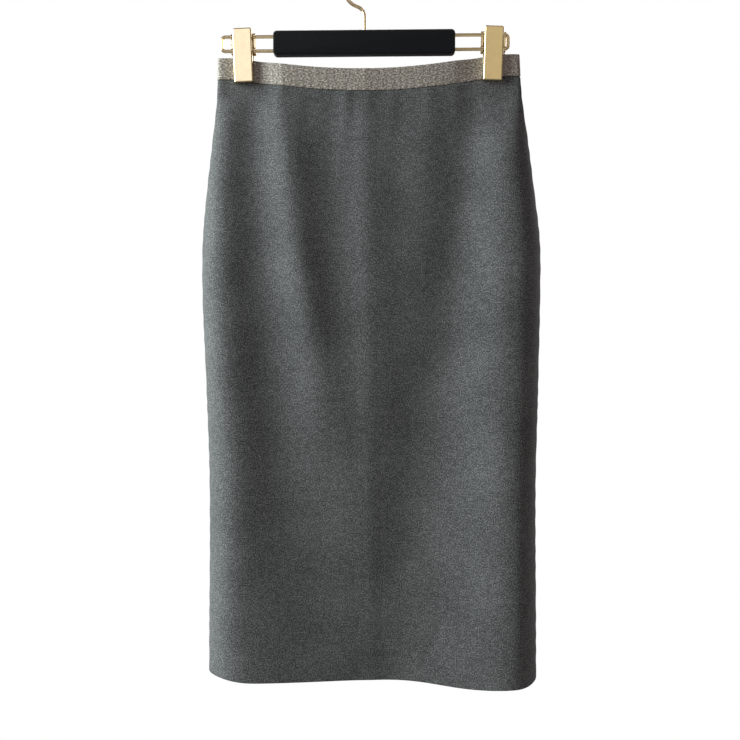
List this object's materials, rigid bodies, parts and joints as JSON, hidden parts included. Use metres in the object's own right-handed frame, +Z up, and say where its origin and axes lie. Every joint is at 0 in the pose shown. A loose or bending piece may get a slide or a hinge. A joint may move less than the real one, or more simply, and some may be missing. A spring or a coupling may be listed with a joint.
{
  "type": "pencil skirt on a clip hanger",
  "caption": "Mid-grey wool pencil skirt with a taupe metallic elastic waistband, hung by gold clips from a gold rod hanger with a black flocked sleeve.",
  "frame": {"origin": "inside of the hook's crown, where the hanger rests on the rail that carries it", "axes": "+Z up, -Y out of the skirt's front, +X to the right of someone who looks at the front"},
  "size_m": [0.392, 0.0994, 0.828],
  "materials": {
    "cloth": "heathered worsted wool twill, matt",
    "elastic": "woven elastic with metallic thread, soft glitter",
    "gold": "pale gold plating, polished",
    "flock": "black flocked foam, velvety"
  },
  "bodies": {
    "root": {"front_left": "cloth", "front_right": "cloth", "back_left": "cloth", "back_right": "cloth", "waistband": "elastic", "rail_loop": "gold", "bar_sleeve": "flock", "hook": "gold", "clip_left_front": "gold", "clip_left_rear": "gold", "clip_left_pin": "gold", "clip_right_front": "gold", "clip_right_rear": "gold", "clip_right_pin": "gold"}
  },
  "joints": []
}
